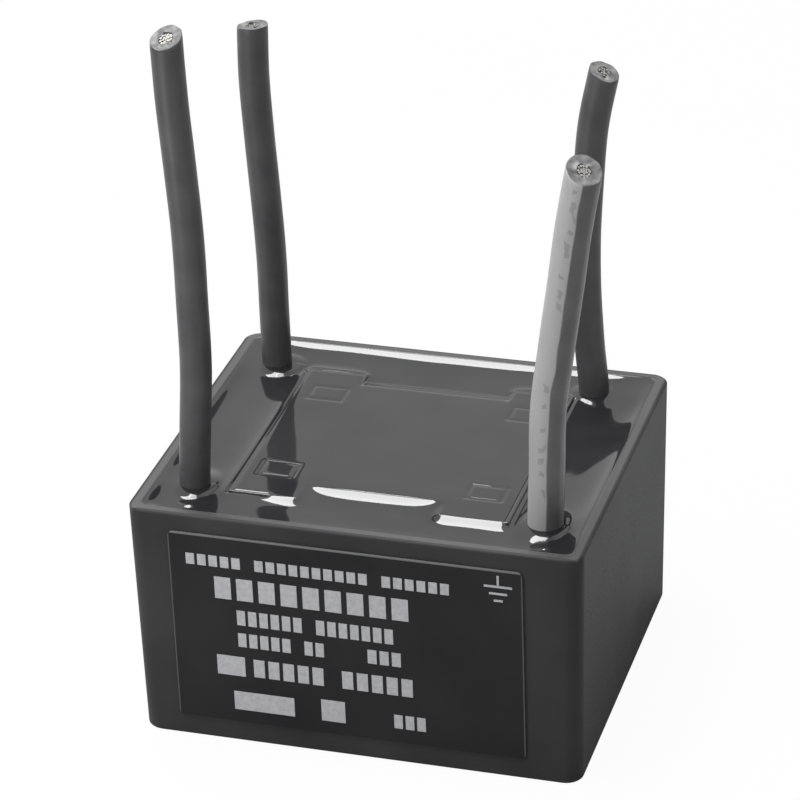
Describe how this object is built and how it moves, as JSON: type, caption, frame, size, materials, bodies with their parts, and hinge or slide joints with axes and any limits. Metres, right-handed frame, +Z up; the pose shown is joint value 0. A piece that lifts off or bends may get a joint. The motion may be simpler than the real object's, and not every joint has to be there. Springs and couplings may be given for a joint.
{
  "type": "potted surge protective device",
  "caption": "Open-topped moulded box filled with black epoxy resin, with an H-shaped cover plate in it and stiff insulated leads standing out of the resin at its corners.",
  "frame": {"origin": "middle of the case's underside", "axes": "+X to the right seen from the labelled front face, which looks along -Y; +Z up, the way the leads point"},
  "size_m": [0.0418, 0.0352, 0.0662],
  "materials": {
    "case_plastic": "black moulded plastic, fine satin texture",
    "resin": "glossy black epoxy resin",
    "cover_plastic": "black moulded plastic under a film of resin",
    "holder_plastic": "black moulded plastic",
    "board": "green lacquered laminate",
    "copper": "bare copper",
    "solder": "bright solder",
    "varistor_coating": "dipped blue epoxy coating",
    "tinned_wire": "tinned",
    "fuse_metal": "plated metal case",
    "tube_ceramic": "unglazed white ceramic",
    "dark_insulation": "dark grey extruded vinyl",
    "striped_insulation": "light grey extruded vinyl with a dark grey stripe",
    "stranded_core": "cut strands of tinned copper",
    "label_film": "smooth black film",
    "print_ink": "pale grey ink"
  },
  "bodies": {
    "root": {"case_shell": "case_plastic", "potting_resin": "resin", "holder_cover": "cover_plastic", "component_holder": "holder_plastic", "circuit_board": "board", "copper_tracks": "copper", "solder_joints": "solder", "varistor_1": "varistor_coating", "varistor_2": "varistor_coating", "varistor_3": "varistor_coating", "varistor_legs_1": "tinned_wire", "varistor_legs_2": "tinned_wire", "varistor_legs_3": "tinned_wire", "thermal_fuse_1": "fuse_metal", "thermal_fuse_2": "fuse_metal", "thermal_fuse_3": "fuse_metal", "gas_tube_body": "tube_ceramic", "gas_tube_caps": "tinned_wire", "line_lead_1": "dark_insulation", "line_lead_2": "dark_insulation", "line_lead_3": "dark_insulation", "earth_lead": "striped_insulation", "line_lead_1_core": "stranded_core", "line_lead_2_core": "stranded_core", "line_lead_3_core": "stranded_core", "earth_lead_core": "stranded_core", "rating_label": "label_film", "label_print": "print_ink", "earth_mark": "print_ink"}
  },
  "joints": []
}
